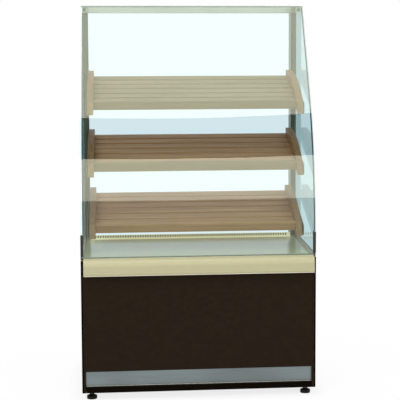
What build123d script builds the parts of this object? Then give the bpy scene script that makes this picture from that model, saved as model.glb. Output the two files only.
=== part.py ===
"""Bread display case: slatted tilted shelves behind a curved front glass, on a storage base.

Units are millimetres. X runs to the right, Y to the rear, Z up. The origin is on the floor,
under the middle of the case. Every function returns the solids of one named piece or of one
group of identical pieces.
"""
import os
from math import cos, radians, sin, sqrt, tan

from build123d import *

# Overall
case_width = 1040.0
case_height = 1740.0
cabinet_depth = 682.0
bumper_bulge = 44.0
handle_projection = 24.0

# Base cabinet
board = 16.0
board_edge = 0.8
board_gap = 0.5
foot_height = 37.0
deck_top = 624.0
bottom_rail_height = 20.0
kick_height = 70.0
kick_recess = 15.0
kick_sheet = 1.5
kick_lip = 4.0
bumper_height = 70.0
bumper_rise = 10.0
bumper_wall = 3.0
bumper_brow_radius = 32.0
bumper_foot_radius = 6.0
bumper_end_inset = 12.5
storage_lower_room = 259.0
storage_shelf_setback = 14.0
shelf_pin_diameter = 5.0
shelf_pin_inset = 60.0

# Rear doors
door_gap = 3.0
hinge_leaf = 1.5
hinge_length = 60.0
hinge_width = 28.0
knuckle_radius = 2.8
hinge_pin_diameter = 3.0
pin_clearance = 0.05
knuckle_gap = 0.4
hinge_inset = 90.0
handle_width = 12.0
handle_bar = 8.0
handle_bend = 14.0
handle_span = 128.0
handle_inset = 36.0
catch_size = (26.0, 16.0, 14.0)

# Levelling feet
foot_pad_diameter = 45.0
foot_pad_height = 13.0
foot_neck_diameter = 40.0
foot_neck_height = 8.0
foot_socket_floor = 8.0
foot_stem_diameter = 10.0
foot_nut_width = 17.0
foot_nut_height = 8.0
foot_stem_top = 78.0
foot_inset_x = 42.0
foot_inset_y = 34.0
insert_diameter = 22.0
stem_groove_clearance = 1.0

# Rear frame
post_width = 25.0
post_setback = 8.0
post_depth = 88.0
frame_wall = 2.0
frame_corner = 3.0
base_plate = 4.0
base_plate_margin = 3.0
rail_height = 25.0
slot_pitch = 25.4
slot_height = 12.0
slot_width = 4.0
slot_offset = 4.5
bar_groove = 1.5

# Glass
glass = 6.0
glass_clearance = 0.3
front_glass_setback = 7.0
front_glass_rise = 10.0
front_glass_upright = 78.0
front_curve_radius = 1215.0
front_curve_angle = 32.5
front_glass_margin = 1.0
side_glass_inset = 2.0
side_glass_front_gap = 3.0
channel_wall = 1.5
channel_height = 14.0
channel_slack = 0.5
top_glass_front_gap = 5.0
seal_thickness = 5.0
seal_height = 12.0
seal_clearance = 0.4
buffer_diameter = 14.0
buffer_thickness = 3.6
buffer_clearance = 0.3

# Front glass hinges
clamp_plate = 3.0
clamp_rise = 6.0
clamp_height = 95.0
hinge_axis_behind_glass = 5.0
hinge_axis_rise = 7.0
hinge_eye_radius = 5.5
hinge_bracket_radius = 4.8
hinge_bracket = 3.5
hinge_foot = 22.0
hinge_pin = 6.0
hinge_side_gap = 0.5
hinge_bracket_inset = 11.7
clamp_width = 12.0
hinge_clearance = 12.0

# Rear upstand of the deck
upstand_height = 20.0
upstand_setback = 10.0
upstand_sheet = 1.5
upstand_flange = 14.0
upstand_hole = (6.0, 10.5)
upstand_hole_height = 12.0
upstand_pitch = 12.0

# Slatted shelves
shelf_tilt = 18.0
shelf_rear_gap = 7.0
shelf_glass_gap = 30.0
shelf_rail = 28.0
shelf_rail_height = 48.0
shelf_rail_crown = 28.0
shelf_rail_end_lean = 25.0
middle_shelf_rise = 533.0
slots_between_shelves = 11
shelf_side_gap = 24.0
bottom_shelf_side_gap = 28.0
slat_rear_inset = 11.0
slat_gap = 11.0
slat_width = 48.0
slat_thickness = 12.0
slat_drop = 24.0
slat_edge = 1.5
lip_inset = 31.0
lip_thickness = 16.0
lip_height = 42.0
batten_width = 20.0
bracket_sheet = 3.0
bracket_web_drop = 10.0
bracket_tail = 76.0
hook_below_shelf = 30.0
bracket_gap = 1.5
hook_top_gap = 2.0
hook_depth = 4.0
hook_drop = 4.0
fit_gap = 0.3

# Derived places
half_width = case_width / 2
total_depth = bumper_bulge + cabinet_depth + handle_projection
front_plane = -total_depth / 2 + bumper_bulge
rear_plane = front_plane + cabinet_depth
inner_half = half_width - board
bottom_top = foot_height + board
bumper_top = deck_top + bumper_rise
bumper_bottom = bumper_top - bumper_height
storage_shelf_height = bottom_top + storage_lower_room
kick_bottom = foot_height + bottom_rail_height
kick_top = kick_bottom + kick_height
post_outer = half_width - post_setback
post_inner = post_outer - post_width
post_y = rear_plane - post_depth
frame_top = case_height - glass
rail_bottom = frame_top - rail_height
side_glass_outer = half_width - side_glass_inset
side_glass_inner = side_glass_outer - glass
glass_face = front_plane + front_glass_setback
front_glass_bottom = deck_top + front_glass_rise
front_curve_start = front_glass_bottom + front_glass_upright
clamp_bottom = front_glass_bottom + clamp_rise
clamp_top = clamp_bottom + clamp_height
hinge_axis_height = deck_top + hinge_axis_rise
middle_shelf_height = deck_top + middle_shelf_rise
hinge_y = glass_face + glass + hinge_axis_behind_glass
slope = tan(radians(shelf_tilt))
shelf_rear = post_y - shelf_rear_gap
shelf_heights = {
    "top": middle_shelf_height + slots_between_shelves * slot_pitch,
    "middle": middle_shelf_height,
    "bottom": middle_shelf_height - slots_between_shelves * slot_pitch,
}
shelf_gaps = {"top": shelf_side_gap, "middle": shelf_side_gap, "bottom": bottom_shelf_side_gap}


def block(x0, x1, y0, y1, z0, z1):
    """A box between two corners."""
    return Pos((x0 + x1) / 2, (y0 + y1) / 2, (z0 + z1) / 2) * Box(x1 - x0, y1 - y0, z1 - z0)


def panel(x0, x1, y0, y1, z0, z1):
    """A laminated board with softened edges."""
    return chamfer(block(x0, x1, y0, y1, z0, z1).edges(), board_edge)


def along_x(section, x0, x1):
    """A YZ section drawn as (Y, Z), extruded from x0 to x1."""
    return Pos(x0, 0, 0) * extrude(Plane.YZ * section, x1 - x0)


def rod_x(x0, x1, y, z, diameter):
    """A round rod along X."""
    return Pos((x0 + x1) / 2, y, z) * Rot(0, 90, 0) * Cylinder(diameter / 2, x1 - x0)


def rod_z(x, y, z0, z1, diameter):
    """A round rod along Z."""
    return Pos(x, y, (z0 + z1) / 2) * Cylinder(diameter / 2, z1 - z0)


def both_sides(piece):
    """A piece on the right and its mirror image on the left."""
    return Compound(children=[piece, mirror(piece, Plane.YZ)])


def to_side(piece, side):
    """The piece itself on the right, or its mirror image on the left."""
    return piece if side == "right" else mirror(piece, Plane.YZ)


def polygon(*points):
    """A face through straight edges."""
    return make_face(Polyline(*points, close=True))


# Base cabinet

def side_panel(side):
    """Full-height board that closes one side of the base."""
    board_solid = panel(inner_half, half_width, front_plane, rear_plane, foot_height, deck_top)
    for height in hinge_heights():
        board_solid -= block(inner_half - 1, half_width + 1, rear_plane - hinge_leaf, rear_plane + 1,
                             height - hinge_length / 2 - board_gap, height + hinge_length / 2 + board_gap)
    for y in shelf_pin_places():
        hole = rod_x(inner_half - 1, inner_half + board / 2, y, pin_height(), shelf_pin_diameter)
        board_solid -= hole
    return to_side(board_solid, side)


def bottom_panel():
    """Floor of the cabinet, bored for the stems of the feet."""
    floor = panel(-inner_half, inner_half, plinth_front(), rear_plane, foot_height, bottom_top)
    for x, y in foot_places().values():
        floor -= rod_z(x, y, foot_height - 1, bottom_top + 1, insert_diameter)
    return floor


def plinth_front():
    return front_plane + kick_recess + kick_sheet


def plinth_rear():
    return plinth_front() + board


def plinth_board():
    """Recessed board behind the kick plate, grooved at its back for the stems of the front feet."""
    plinth = panel(-inner_half, inner_half, plinth_front(), plinth_rear(), bottom_top,
                   kick_top + board)
    for x, y in foot_places().values():
        plinth -= rod_z(x, y, bottom_top - 1, foot_stem_top + stem_groove_clearance,
                        foot_stem_diameter + 2 * stem_groove_clearance)
    return plinth


def front_bottom_rail():
    """Dark rail under the kick plate."""
    return panel(-inner_half, inner_half, front_plane, plinth_front(), foot_height, kick_bottom)


def kick_plate():
    """Brushed plate with a short lip folded forward along its top and bottom."""
    back = plinth_front()
    face = back - kick_sheet
    half = inner_half - board_gap
    section = polygon((back, kick_bottom), (face - kick_lip, kick_bottom),
                      (face - kick_lip, kick_bottom + kick_sheet), (face, kick_bottom + kick_sheet),
                      (face, kick_top - kick_sheet), (face - kick_lip, kick_top - kick_sheet),
                      (face - kick_lip, kick_top), (back, kick_top))
    return along_x(section, -half, half)


def front_panel():
    """Large laminated front of the base."""
    return panel(-inner_half + board_gap, inner_half - board_gap, front_plane, front_plane + board,
                 kick_top, bumper_bottom)


def front_top_rail():
    """Board behind the bumper, which carries the front edge of the deck."""
    return panel(-inner_half, inner_half, front_plane, front_plane + board, bumper_bottom, deck_top)


def bumper_section(shrink):
    """Section of the bumper with a round brow, drawn smaller all round by shrink."""
    middle = Pos(front_plane - bumper_bulge / 2, (bumper_bottom + bumper_top) / 2)
    face = middle * Rectangle(bumper_bulge - 2 * shrink, bumper_height - 2 * shrink)
    brow = face.vertices().group_by(Axis.X)[0].sort_by(Axis.Y)[-1]
    face = fillet(brow, bumper_brow_radius - shrink)
    foot = face.vertices().group_by(Axis.X)[0].sort_by(Axis.Y)[0]
    return fillet(foot, bumper_foot_radius - shrink)


def bumper_moulding():
    """Hollow moulding along the front, closed at both ends beside the side panels."""
    half = half_width - bumper_end_inset
    moulding = along_x(bumper_section(0), -half, half)
    return moulding - along_x(bumper_section(bumper_wall), -half + bumper_wall, half - bumper_wall)


def deck_panel():
    """Display deck on top of the cabinet."""
    return panel(-inner_half, inner_half, front_plane + board, rear_plane, deck_top - board, deck_top)


def rear_upstand():
    """Perforated strip that keeps what is displayed from sliding off the rear of the deck."""
    half = post_inner - base_plate_margin - fit_gap
    face = post_y - upstand_setback
    back = face + upstand_sheet
    section = polygon((back, deck_top), (face - upstand_flange, deck_top),
                      (face - upstand_flange, deck_top + upstand_sheet),
                      (face, deck_top + upstand_sheet), (face, deck_top + upstand_height),
                      (back, deck_top + upstand_height))
    strip = along_x(section, -half, half)
    hole_width, hole_height = upstand_hole
    count = int((2 * half - 2 * upstand_pitch) / upstand_pitch)
    hole_z = deck_top + upstand_hole_height
    holes = [Pos((i - (count - 1) / 2) * upstand_pitch, face, hole_z)
             * Box(hole_width, 4 * upstand_sheet, hole_height) for i in range(count)]
    return strip - holes


def storage_shelf():
    """Loose board on four pins inside the base."""
    half = inner_half - board_gap
    return panel(-half, half, plinth_rear() + storage_shelf_setback,
                 door_front() - storage_shelf_setback, storage_shelf_height,
                 storage_shelf_height + board)


def pin_height():
    return storage_shelf_height - shelf_pin_diameter / 2


def shelf_pin_places():
    """Y places of the two pins on each side."""
    front = plinth_rear() + storage_shelf_setback + shelf_pin_inset
    rear = door_front() - storage_shelf_setback - shelf_pin_inset
    return front, rear


def shelf_pins():
    """Four pins that carry the storage shelf."""
    pins = []
    for y in shelf_pin_places():
        pin = rod_x(inner_half - shelf_pin_diameter * 2, inner_half + board / 2, y, pin_height(),
                    shelf_pin_diameter)
        pins += [pin, mirror(pin, Plane.YZ)]
    return Compound(children=pins)


def foot_places():
    """Centres of the four feet by name."""
    x = half_width - foot_inset_x
    front = front_plane + foot_inset_y
    rear = rear_plane - foot_inset_y
    return {"front_left": (-x, front), "front_right": (x, front),
            "rear_left": (-x, rear), "rear_right": (x, rear)}


def foot_inserts():
    """Threaded inserts in the cabinet floor, one over each foot."""
    inserts = []
    for x, y in foot_places().values():
        body = rod_z(x, y, foot_height, bottom_top, insert_diameter)
        bore = rod_z(x, y, foot_height - 1, bottom_top + 1, foot_stem_diameter + 2 * pin_clearance)
        inserts.append(body - bore)
    return Compound(children=inserts)


def foot_pad(name):
    """Round swivel pad with a conical neck and a socket for its stem."""
    x, y = foot_places()[name]
    pad = rod_z(x, y, 0, foot_pad_height, foot_pad_diameter)
    pad += Pos(x, y, foot_pad_height) * Cone(foot_neck_diameter / 2, foot_nut_width / 2,
                                             foot_neck_height,
                                             align=(Align.CENTER, Align.CENTER, Align.MIN))
    return pad - rod_z(x, y, foot_socket_floor, foot_height, foot_stem_diameter)


def foot_stem(name):
    """Threaded stem with the hexagonal lock nut that clamps it under the cabinet floor."""
    x, y = foot_places()[name]
    stem = rod_z(x, y, foot_socket_floor, foot_stem_top, foot_stem_diameter)
    top = foot_height - fit_gap
    hexagon = RegularPolygon(foot_nut_width / 2, 6, major_radius=False)
    nut = Pos(x, y, top - foot_nut_height) * extrude(hexagon, foot_nut_height)
    nut -= rod_z(x, y, top - foot_nut_height - 1, top + 1, foot_stem_diameter)
    return Compound(children=[stem, nut])


# Rear doors

def door_front():
    return rear_plane - board


def hinge_heights():
    """Heights of the two hinges of each door."""
    return (bottom_top + hinge_inset, deck_top - board - hinge_inset)


def hinge_axis():
    """X and Y of the right door's hinge pins."""
    return inner_half - door_gap / 2, rear_plane + knuckle_radius


def storage_door(side):
    """Inset door of the storage compartment, with a shallow seat for each hinge leaf."""
    low = bottom_top + door_gap
    high = deck_top - board - door_gap
    door = panel(door_gap / 2, inner_half - door_gap, door_front(), rear_plane, low, high)
    for height in hinge_heights():
        door -= block(inner_half - door_gap - hinge_width - board_gap, inner_half,
                      rear_plane - hinge_leaf, rear_plane + 1,
                      height - hinge_length / 2 - board_gap, height + hinge_length / 2 + board_gap)
    return to_side(door, side)


def knuckle(z0, z1):
    x, y = hinge_axis()
    return rod_z(x, y, z0, z1, 2 * knuckle_radius)


def door_hinges_fixed():
    """Cabinet halves of the four butt hinges: a leaf with two knuckles each."""
    x, y = hinge_axis()
    third = hinge_length / 3
    leaves = []
    for height in hinge_heights():
        low = height - hinge_length / 2
        high = height + hinge_length / 2
        leaf = block(x, half_width - board_edge, rear_plane - hinge_leaf, rear_plane, low, high)
        leaf += block(x, x + knuckle_radius, rear_plane - hinge_leaf, y, low, high)
        leaf += knuckle(low, low + third) + knuckle(high - third, high)
        gap = rod_z(x, y, low + third - knuckle_gap, high - third + knuckle_gap,
                    2 * (knuckle_radius + knuckle_gap))
        bore = rod_z(x, y, low - 1, high + 1, hinge_pin_diameter)
        edge = block(x - knuckle_radius - 1, inner_half, rear_plane - 2 * hinge_leaf,
                     rear_plane, low - 1, high + 1)
        leaf = leaf - gap - bore - edge
        leaves += leaf.solids()
        leaves += [mirror(solid, Plane.YZ) for solid in leaf.solids()]
    return Compound(children=leaves)


def door_hinge_pins():
    """Pins of the four door hinges."""
    x, y = hinge_axis()
    pins = []
    for height in hinge_heights():
        pin = rod_z(x, y, height - hinge_length / 2, height + hinge_length / 2, hinge_pin_diameter)
        pins += [pin, mirror(pin, Plane.YZ)]
    return Compound(children=pins)


def door_hinge_leaves(side):
    """Door halves of one door's hinges: a leaf with the middle knuckle each."""
    x, y = hinge_axis()
    third = hinge_length / 3
    edge = inner_half - door_gap
    leaves = []
    for height in hinge_heights():
        low = height - hinge_length / 2
        high = height + hinge_length / 2
        leaf = block(edge - hinge_width, edge, rear_plane - hinge_leaf, rear_plane, low, high)
        middle = block(edge - knuckle_radius, x, rear_plane - hinge_leaf, y,
                       low + third + knuckle_gap, high - third - knuckle_gap)
        middle += knuckle(low + third + knuckle_gap, high - third - knuckle_gap)
        bore = rod_z(x, y, low - 1, high + 1, hinge_pin_diameter + 2 * pin_clearance)
        leaves.append(to_side(leaf + middle - bore, side))
    return Compound(children=leaves)


def bow_face(reach, length, bend):
    """YZ face between the door and one side of the bar of a handle, rounded at both bends."""
    mid = (bottom_top + deck_top - board) / 2
    face = Pos(rear_plane + reach / 2, mid) * Rectangle(reach, length)
    return fillet(face.vertices().group_by(Axis.X)[-1], bend)


def door_handle(side):
    """Bow handle bent from flat bar, beside the meeting edge of one door."""
    x = door_gap / 2 + handle_inset
    outer = bow_face(handle_projection, handle_span + handle_bar, handle_bend)
    inner = bow_face(handle_projection - handle_bar, handle_span - handle_bar,
                     handle_bend - handle_bar)
    bow = along_x(outer - inner, x - handle_width / 2, x + handle_width / 2)
    return to_side(bow, side)


def door_catches():
    """Magnet catches under the deck, one behind each door."""
    width, depth, height = catch_size
    x = door_gap / 2 + handle_inset
    catch = block(x - width / 2, x + width / 2, door_front() - fit_gap - depth,
                  door_front() - fit_gap, deck_top - board - height, deck_top - board)
    return both_sides(catch)


# Rear frame

def post_section():
    """Hollow section of the right post."""
    depth = rear_plane - post_y
    centre = Pos((post_inner + post_outer) / 2, (post_y + rear_plane) / 2)
    outer = centre * RectangleRounded(post_width, depth, frame_corner)
    return outer - centre * Rectangle(post_width - 2 * frame_wall, depth - 2 * frame_wall)


def slot_heights():
    """Centres of the bracket slots along a post, set out from the middle shelf's hooks."""
    start = middle_shelf_height - hook_below_shelf
    below = int((start - deck_top - base_plate - slot_pitch) / slot_pitch)
    above = int((rail_bottom - start - slot_pitch) / slot_pitch)
    return [start + i * slot_pitch for i in range(-below, above + 1)]


def slot_x():
    return post_inner + slot_offset


def rear_posts():
    """Slotted uprights behind the shelves."""
    low = deck_top + base_plate
    post = Pos(0, 0, low) * extrude(post_section(), rail_bottom - low)
    slots = [Pos(slot_x(), post_y, z) * Box(slot_width, 2 * frame_wall + 1, slot_height)
             for z in slot_heights()]
    return both_sides(post - slots)


def post_base_plates():
    """Plates that seat the posts on the deck."""
    plate = panel(post_inner - base_plate_margin, post_outer, post_y - base_plate_margin,
                  rear_plane, deck_top, deck_top + base_plate)
    return both_sides(plate)


def top_cross_bar():
    """Rear bar across the top of the posts, with two grooves along its front."""
    depth = rear_plane - post_y
    section = Pos((post_y + rear_plane) / 2, (rail_bottom + frame_top) / 2) * (
        RectangleRounded(depth, rail_height, frame_corner)
        - Rectangle(depth - 2 * frame_wall, rail_height - 2 * frame_wall))
    for share in (1 / 3, 2 / 3):
        section -= Pos(post_y, rail_bottom + rail_height * share) * Rectangle(bar_groove, bar_groove)
    return along_x(section, -post_outer, post_outer)


def top_side_rails():
    """Side rails from the rear bar to the front glass."""
    low_front = inner_face_y(rail_bottom) + rail_end_gap()
    high_front = inner_face_y(frame_top) + rail_end_gap()
    section = polygon((low_front, rail_bottom), (post_y, rail_bottom),
                      (post_y, frame_top), (high_front, frame_top))
    return both_sides(along_x(section, post_inner, post_outer))


# Glass

def glass_line(offset):
    """Wire of the front glass profile, moved inward from its outer face by offset.

    It rises straight, bends back along an arc and ends in a straight slope.
    """
    radius = front_curve_radius - offset
    turn = radians(front_curve_angle)
    centre_y = glass_face + front_curve_radius
    start = (glass_face + offset, front_glass_bottom)
    bend = (glass_face + offset, front_curve_start)
    leave = (centre_y - radius * cos(turn), front_curve_start + radius * sin(turn))
    end = slope_end(offset)
    arc = CenterArc((centre_y, front_curve_start), radius, 180, -front_curve_angle)
    return start, bend, leave, end, arc


def slope_end(offset):
    """Upper end of the profile: the outer face reaches the top of the case, the edge is square."""
    turn = radians(front_curve_angle)
    outer_leave_y = glass_face + front_curve_radius * (1 - cos(turn))
    outer_leave_z = front_curve_start + front_curve_radius * sin(turn)
    outer_y = outer_leave_y + (case_height - outer_leave_z) * tan(turn)
    return outer_y + offset * cos(turn), case_height - offset * sin(turn)


def inner_face_y(z):
    """Y of the sloping inner face of the front glass at height z."""
    y_end, z_end = slope_end(glass)
    return y_end - (z_end - z) * tan(radians(front_curve_angle))


def glass_back_y(z):
    """Y of the inner face of the front glass at height z, over its whole profile."""
    start, bend, leave, end, arc = glass_line(glass)
    if z <= bend[1]:
        return bend[0]
    if z >= leave[1]:
        return inner_face_y(z)
    radius = front_curve_radius - glass
    return bend[0] + radius - sqrt(radius ** 2 - (z - bend[1]) ** 2)


def rail_end_gap():
    """Level distance from the inner face of the glass to the end of a side rail."""
    return (buffer_thickness + buffer_clearance) / cos(radians(front_curve_angle))


def glass_band(outer, inner):
    """Face between two offsets of the front glass profile."""
    start_a, bend_a, leave_a, end_a, arc_a = glass_line(outer)
    start_b, bend_b, leave_b, end_b, arc_b = glass_line(inner)
    edges = [Line(start_a, bend_a), arc_a, Line(leave_a, end_a), Line(end_a, end_b),
             Line(end_b, leave_b), arc_b, Line(bend_b, start_b), Line(start_b, start_a)]
    return make_face(edges)


def front_glass():
    """Curved front glass, bent from one sheet and gripped at its lower corners by the clamps."""
    half = half_width - front_glass_margin
    return along_x(glass_band(0, glass), -half, half)


def side_glass(side):
    """Flat side pane on the outer faces of the frame.

    Its front edge follows the curve of the front glass, and its foot is cut out for the hinge.
    """
    gap = glass + side_glass_front_gap
    start, bend, leave, end, arc = glass_line(gap)
    low = deck_top + channel_wall + glass_clearance
    rise = frame_top - leave[1]
    top = (leave[0] + rise * tan(radians(front_curve_angle)), frame_top)
    edges = [Line((start[0], low), bend), arc, Line(leave, top), Line(top, (rear_plane, frame_top)),
             Line((rear_plane, frame_top), (rear_plane, low)), Line((rear_plane, low), (start[0], low))]
    pane = along_x(make_face(edges), side_glass_inner, side_glass_outer)
    x0 = side_glass_inner - 1
    x1 = side_glass_outer + 1
    hinge_room = block(x0, x1, start[0] - 1, hinge_y + hinge_clearance, low - 1,
                       clamp_top + side_glass_front_gap)
    foot_room = block(x0, x1, start[0] - 1, hinge_foot_rear() + glass_clearance, low - 1,
                      deck_top + clamp_plate + side_glass_front_gap)
    return to_side(pane - hinge_room - foot_room, side)


def side_glass_channels():
    """U-channels that seat the side panes on the base."""
    outer = glass / 2 + channel_slack + channel_wall
    inner = glass / 2 + channel_slack
    middle = (side_glass_inner + side_glass_outer) / 2
    front = hinge_foot_rear() + glass_clearance
    rear = post_y - base_plate_margin - fit_gap
    channel = block(middle - outer, middle + outer, front, rear, deck_top, deck_top + channel_height)
    channel -= block(middle - inner, middle + inner, front - 1, rear + 1,
                     deck_top + channel_wall, deck_top + channel_height + 1)
    return both_sides(channel)


def top_glass():
    """Flat top pane on the rear bar and the side rails."""
    front = inner_face_y(frame_top) + top_glass_front_gap
    pane = block(-post_outer, post_outer, front, rear_plane, frame_top, case_height)
    return chamfer(pane.edges().filter_by(Axis.Z), board_edge)


def front_glass_seal():
    """Rubber strip on the deck that closes the gap behind the foot of the front glass."""
    front = glass_face + glass + seal_clearance
    half = inner_half - board_gap
    return block(-half, half, front, front + seal_thickness, deck_top, deck_top + seal_height)


def glass_buffers():
    """Rubber buffers on the ends of the side rails, where the front glass comes to rest."""
    turn = radians(front_curve_angle)
    middle_z = (rail_bottom + frame_top) / 2
    middle_y = inner_face_y(middle_z) + rail_end_gap()
    middle_x = (post_inner + post_outer) / 2
    shift = buffer_thickness / 2
    puck = Pos(middle_x, middle_y - shift * cos(turn), middle_z + shift * sin(turn)) * (
        Rot(90 - front_curve_angle, 0, 0) * Cylinder(buffer_diameter / 2, buffer_thickness))
    return both_sides(puck)


# Front glass hinges

def clamp_cheek(outer, inner, low):
    """One cheek of a clamp, following the curve of the glass."""
    cheek = along_x(glass_band(outer, inner), half_width - clamp_width, half_width)
    window = block(half_width - clamp_width - 1, half_width + 1, glass_face - clamp_plate - 1,
                   glass_face + glass + clamp_height, low, clamp_top)
    return cheek & window


def glass_clamps():
    """Hinge clamps on the lower corners of the front glass: a front cheek and a rear one with an eye."""
    front = clamp_cheek(-clamp_plate - glass_clearance, -glass_clearance, clamp_bottom)
    back = clamp_cheek(glass + glass_clearance, glass + glass_clearance + clamp_plate, clamp_bottom)
    eye_x0 = hinge_bracket_x() + hinge_bracket + hinge_side_gap
    reach = glass_face + glass + glass_clearance
    eye = rod_x(eye_x0, half_width, hinge_y, hinge_axis_height, 2 * hinge_eye_radius)
    neck = block(eye_x0, half_width, reach, reach + clamp_plate, front_glass_bottom, clamp_bottom)
    web = block(eye_x0, half_width, reach, hinge_y + hinge_eye_radius, hinge_axis_height,
                clamp_bottom)
    bore = rod_x(eye_x0 - 1, half_width + 1, hinge_y, hinge_axis_height,
                 hinge_pin + 2 * pin_clearance)
    pieces = [front, back + neck + web + eye - bore]
    return Compound(children=pieces + [mirror(piece, Plane.YZ) for piece in pieces])


def hinge_bracket_x():
    """Inner face of the right hinge bracket."""
    return half_width - hinge_bracket_inset


def hinge_foot_rear():
    """Rear end of the hinge brackets' feet."""
    return hinge_y + hinge_eye_radius + hinge_foot


def glass_hinge_brackets():
    """Fixed halves of the front glass hinges, on top of the side panels."""
    x0 = hinge_bracket_x()
    upright = block(x0, x0 + hinge_bracket, hinge_y - hinge_bracket_radius,
                    hinge_y + hinge_bracket_radius, deck_top, hinge_axis_height)
    upright += rod_x(x0, x0 + hinge_bracket, hinge_y, hinge_axis_height, 2 * hinge_bracket_radius)
    foot_rear = hinge_foot_rear()
    foot = block(x0, x0 + hinge_bracket, hinge_y - hinge_bracket_radius, foot_rear,
                 deck_top, deck_top + clamp_plate)
    foot += block(x0, half_width - board_edge, foot_rear - hinge_foot + hinge_side_gap, foot_rear,
                  deck_top, deck_top + clamp_plate)
    bore = rod_x(x0 - 1, half_width, hinge_y, hinge_axis_height, hinge_pin)
    return both_sides(upright + foot - bore)


def glass_hinge_pins():
    """Pins fixed in the hinge brackets, on which the clamp eyes turn."""
    return both_sides(rod_x(hinge_bracket_x(), half_width, hinge_y, hinge_axis_height, hinge_pin))


# Slatted shelves

def shelf_outer(level):
    """Outer half width of a shelf."""
    return side_glass_inner - shelf_gaps[level]


def tilted(piece, level):
    """Place a piece drawn level, with the rear upper edge of the side rails at the origin."""
    return Pos(0, shelf_rear, shelf_heights[level]) * Rot(shelf_tilt, 0, 0) * piece


def shelf_front_place():
    """Y of the lowest front corner of the side rails, set by the glass before the top shelf."""
    y = front_plane
    for _ in range(12):
        y = glass_back_y(slope_z(y, shelf_rail_height, "top")) + shelf_glass_gap
    return y


def slope_z(y, drop, level):
    """Height at y of the line that lies a drop below the upper corners of the side rails."""
    return shelf_heights[level] - (shelf_rear - y) * slope - drop / cos(radians(shelf_tilt))


def slope_band(rear_y, front_y, drop_top, drop_bottom, level):
    """YZ face parallel to the shelf, with upright ends, between two drops below the rail top."""
    return polygon((rear_y, slope_z(rear_y, drop_top, level)),
                   (front_y, slope_z(front_y, drop_top, level)),
                   (front_y, slope_z(front_y, drop_bottom, level)),
                   (rear_y, slope_z(rear_y, drop_bottom, level)))


def shelf_side_rails(level):
    """Two solid wood rails that carry the slats between them.

    The upper edge is crowned, and the front end leans with the front glass.
    """
    outer = shelf_outer(level)
    rear_top = (shelf_rear, shelf_heights[level])
    rear_foot = (shelf_rear, slope_z(shelf_rear, shelf_rail_height, level))
    front_foot = (shelf_front_y, slope_z(shelf_front_y, shelf_rail_height, level))
    rise_per_y = 1 / tan(radians(shelf_rail_end_lean)) - slope
    front_top_y = shelf_front_y + shelf_rail_height / cos(radians(shelf_tilt)) / rise_per_y
    front_top = (front_top_y, slope_z(front_top_y, 0, level))
    crown_y = (shelf_rear + front_top_y) / 2
    crown = (crown_y - shelf_rail_crown * sin(radians(shelf_tilt)),
             slope_z(crown_y, 0, level) + shelf_rail_crown * cos(radians(shelf_tilt)))
    outline = [ThreePointArc(rear_top, crown, front_top), Line(front_top, front_foot),
               Line(front_foot, rear_foot), Line(rear_foot, rear_top)]
    rail = along_x(make_face(outline), outer - shelf_rail, outer)
    return both_sides(chamfer(rail.edges(), board_edge))


def lip_rear():
    """Local Y of the back of the front lip."""
    return (shelf_front_y - shelf_rear) / cos(radians(shelf_tilt)) + lip_inset + lip_thickness


def slat_places():
    """Local Y of the front and rear edge of each slat; the last is ripped to the room left."""
    places = []
    rear = -slat_rear_inset
    while rear - slat_gap > lip_rear():
        places.append((max(rear - slat_width, lip_rear() + fit_gap), rear))
        rear -= slat_width + slat_gap
    return places


def shelf_slats(level):
    """Wood slats with broken upper edges."""
    half = shelf_outer(level) - shelf_rail - fit_gap
    slats = []
    for front, rear in slat_places():
        slat = block(-half, half, front, rear, -slat_drop - slat_thickness, -slat_drop)
        upper = slat.edges().group_by(Axis.Z)[-1].filter_by(Axis.X)
        slats.append(tilted(chamfer(upper, slat_edge), level))
    return Compound(children=slats)


def shelf_front_lip(level):
    """Cross board at the front, the stop at the lower end of the shelf."""
    half = shelf_outer(level) - shelf_rail
    lip = block(-half, half, lip_rear() - lip_thickness, lip_rear(), -lip_height, 0)
    return tilted(chamfer(lip.edges().filter_by(Axis.X), 1.5), level)


def shelf_battens(level):
    """Battens under the slats: one along each side rail and one across the rear."""
    inner = shelf_outer(level) - shelf_rail
    low = -shelf_rail_height
    high = -slat_drop - slat_thickness
    rear = -slat_rear_inset
    side = block(inner - batten_width, inner, lip_rear(), rear, low, high)
    cross = block(-inner + batten_width, inner - batten_width, rear - batten_width, rear, low, high)
    pieces = [side, mirror(side, Plane.YZ), cross]
    return Compound(children=[tilted(piece, level) for piece in pieces])


def bracket_x():
    """Inner face of the right bracket's web, in line with the post slots."""
    return slot_x() - bracket_sheet / 2


def shelf_brackets(level):
    """Folded brackets that hook into the posts: a web beside each rail and a flange below it."""
    x0 = bracket_x()
    outer = shelf_outer(level)
    rear = post_y - fit_gap
    front = shelf_front_y + lip_thickness
    band = slope_band(rear, front, bracket_web_drop, shelf_rail_height + bracket_sheet + fit_gap,
                      level)
    web = along_x(band, x0, x0 + bracket_sheet)
    tail_top = shelf_heights[level]
    web += block(x0, x0 + bracket_sheet, rear - shelf_rear_gap, rear, tail_top - bracket_tail,
                 tail_top - bracket_gap)
    flange_band = slope_band(rear, front, shelf_rail_height + fit_gap,
                             shelf_rail_height + bracket_sheet + fit_gap, level)
    flange = along_x(flange_band, outer - shelf_rail + bracket_gap, x0 + bracket_sheet)
    bracket = web + flange
    for z in hook_heights(level):
        low = z - slot_height / 2
        high = z + slot_height / 2 - hook_top_gap
        tip = post_y + frame_wall + hook_depth
        bracket += block(x0, x0 + bracket_sheet, rear - 1, tip, low, high)
        bracket += block(x0, x0 + bracket_sheet, post_y + frame_wall + fit_gap, tip,
                         low - hook_drop, high)
    return both_sides(bracket)


def hook_heights(level):
    """Slots taken by the two hooks of a bracket."""
    upper = shelf_heights[level] - hook_below_shelf
    return (upper - slot_pitch, upper)


shelf_front_y = shelf_front_place()


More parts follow.
